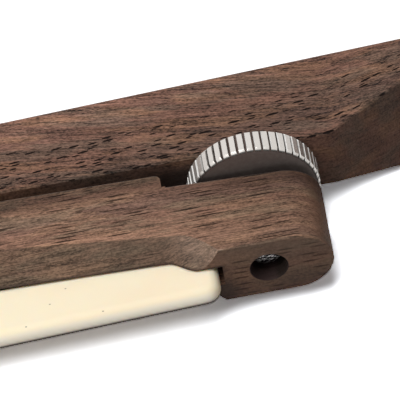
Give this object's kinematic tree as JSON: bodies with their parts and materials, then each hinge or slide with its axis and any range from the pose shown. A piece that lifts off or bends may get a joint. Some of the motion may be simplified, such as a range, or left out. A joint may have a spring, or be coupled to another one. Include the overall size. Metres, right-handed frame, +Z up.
{
  "type": "stitching pony",
  "caption": "Hand-held wooden stitching pony: leather-lined jaws on a long and a short arm, closed by a cream cam lever and set by a knurled heel wheel on a screw",
  "frame": {"origin": "Centre of the underside: the middle of the bounding box in X and Y, on the plane that the jaws and the tail butt rest on", "axes": "+X runs along the arms from the jaws to the tail, +Y from the short front arm to the long rear arm, +Z up as it lies on its side"},
  "size_m": [0.235, 0.051, 0.0246],
  "materials": {
    "walnut": "oiled dark walnut with open pores",
    "steel": "bright plated steel",
    "brass": "plain brass",
    "cream_resin": "polished, bone-coloured",
    "leather": "plain vegetable-tanned leather"
  },
  "bodies": {
    "rear_arm": {"rear_arm": "walnut", "rear_jaw_lining": "leather", "heel_screw": "steel", "heel_screw_washer": "steel", "heel_lock_nut": "steel", "lock_nut_washer": "steel", "link_upper": "steel", "link_lower": "steel", "link_anchor_pin": "steel", "rear_spring_seat": "brass", "opening_spring": "steel"},
    "heel_washer": {"heel_washer": "steel"},
    "thumb_wheel": {"thumb_wheel": "steel"},
    "lever_pin": {"lever_pin": "steel"},
    "cam_lever": {"cam_lever": "cream_resin", "lever_bush": "brass"},
    "front_arm": {"front_arm": "walnut", "front_jaw_lining": "leather", "saddle_plate": "brass", "front_spring_seat": "brass"}
  },
  "joints": [
    {"name": "heel_slide", "type": "slide", "parent": "rear_arm", "child": "heel_washer", "axis": [0, -1, 0], "range_m": [0, 0.002]},
    {"name": "wheel_turn", "type": "hinge", "parent": "heel_washer", "child": "thumb_wheel", "pos_m": [0.0075, 0.00248, 0.0123], "axis": [0, -1, 0], "range_deg": [0, 720]},
    {"name": "arm_rock", "type": "hinge", "parent": "rear_arm", "child": "lever_pin", "pos_m": [-0.0585, -0.01832, 0.0123], "axis": [0, 0, -1], "range_deg": [0, 1.74]},
    {"name": "lever_swing", "type": "hinge", "parent": "lever_pin", "child": "cam_lever", "pos_m": [-0.0585, -0.01832, 0.0123], "axis": [0, 0, -1], "range_deg": [0, 110]},
    {"name": "jaw_open", "type": "hinge", "parent": "lever_pin", "child": "front_arm", "pos_m": [0.0075, -0.00047, 0.0123], "axis": [0, 0, 1], "range_deg": [0, 2.08], "deforming": ["opening_spring"]}
  ],
  "couplings": [
    {"joint": "heel_slide", "follows": "wheel_turn", "m_per_rad": 0.00015915},
    {"joint": "arm_rock", "follows": "wheel_turn", "ratio": 0.0024114},
    {"joint": "jaw_open", "follows": "lever_swing", "ratio": 0.018939}
  ]
}
